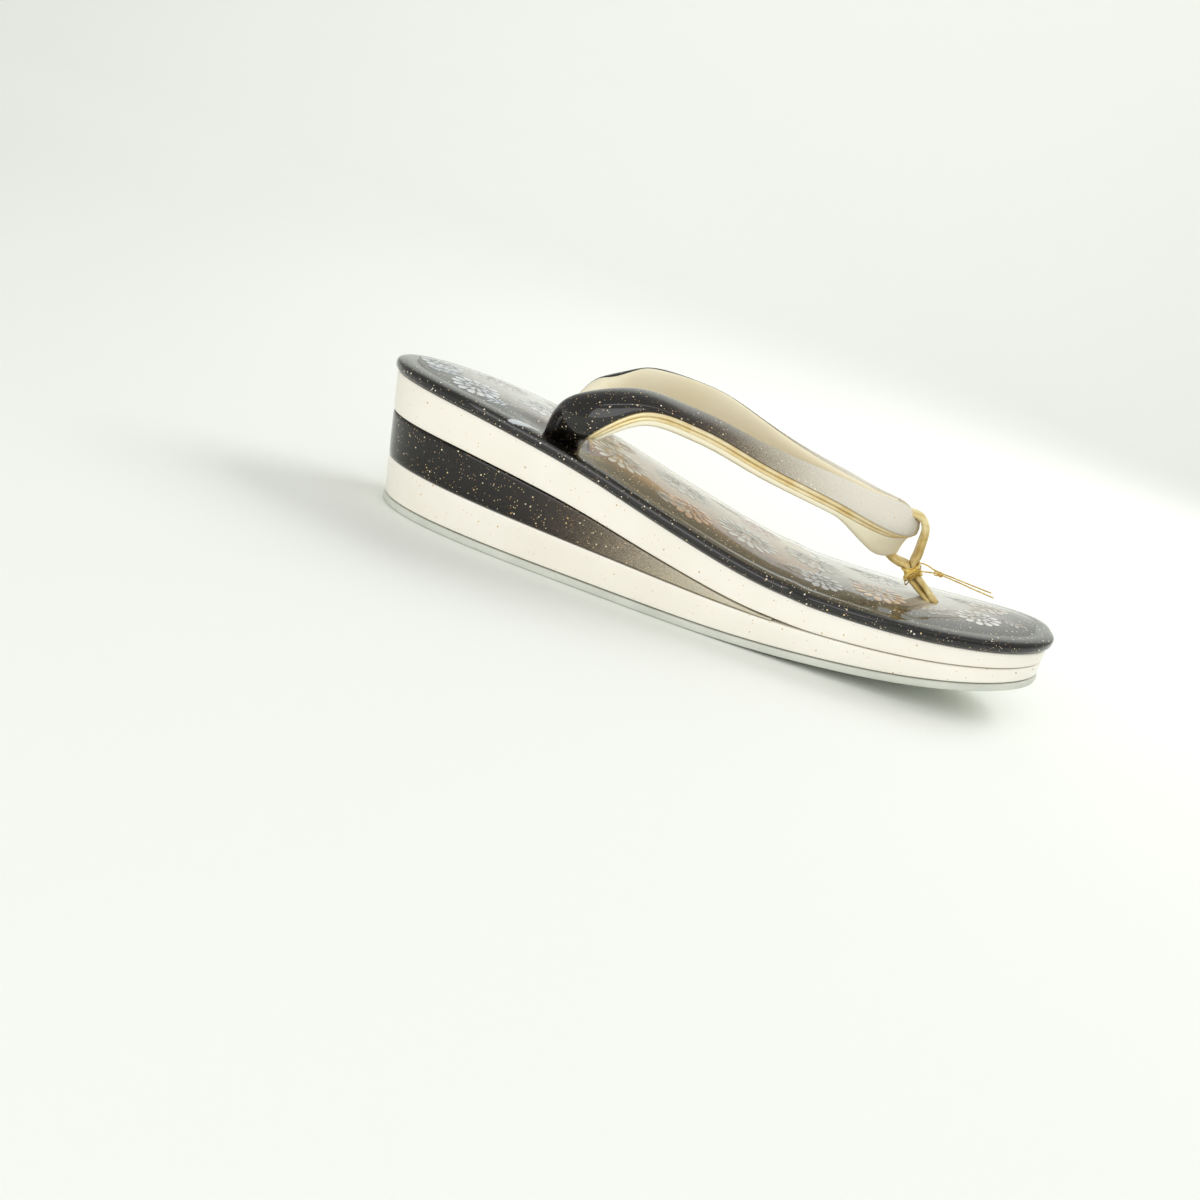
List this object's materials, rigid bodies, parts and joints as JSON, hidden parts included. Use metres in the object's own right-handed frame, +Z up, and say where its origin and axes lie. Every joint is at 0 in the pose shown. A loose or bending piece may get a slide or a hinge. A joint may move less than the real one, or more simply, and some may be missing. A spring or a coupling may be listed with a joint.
{
  "type": "zori sandal",
  "caption": "Traditional dress sandal with a layered wedge platform, a padded printed footbed, a padded V-shaped strap and a toe loop bound with thread.",
  "frame": {"origin": "on the floor, under the middle of the sandal's box", "axes": "+X towards the toe, +Y towards the inner side of the foot, +Z up"},
  "size_m": [0.2422, 0.0813, 0.068],
  "materials": {
    "rubber": "matte moulded sheet",
    "cream_enamel": "soft gloss with fine gold flecks",
    "dark_lacquer": "mirror gloss with gold flecks",
    "printed_enamel": "mirror gloss, printed, with silver and gold flecks",
    "strap_face": "satin gloss, fading from black to pale",
    "strap_lining": "smooth satin",
    "gold_trim": "metallic gold cloth",
    "loop_satin": "gold satin",
    "gold_thread": "metallic thread"
  },
  "bodies": {
    "root": {"outsole": "rubber", "lower_platform": "cream_enamel", "heel_wedge": "dark_lacquer", "upper_platform": "cream_enamel", "footbed": "printed_enamel", "strap": "strap_face", "strap_lining": "strap_lining", "strap_piping": "gold_trim", "toe_loop": "loop_satin", "loop_binding": "gold_thread", "thread_end_a": "gold_thread", "thread_end_b": "gold_thread"}
  },
  "joints": []
}
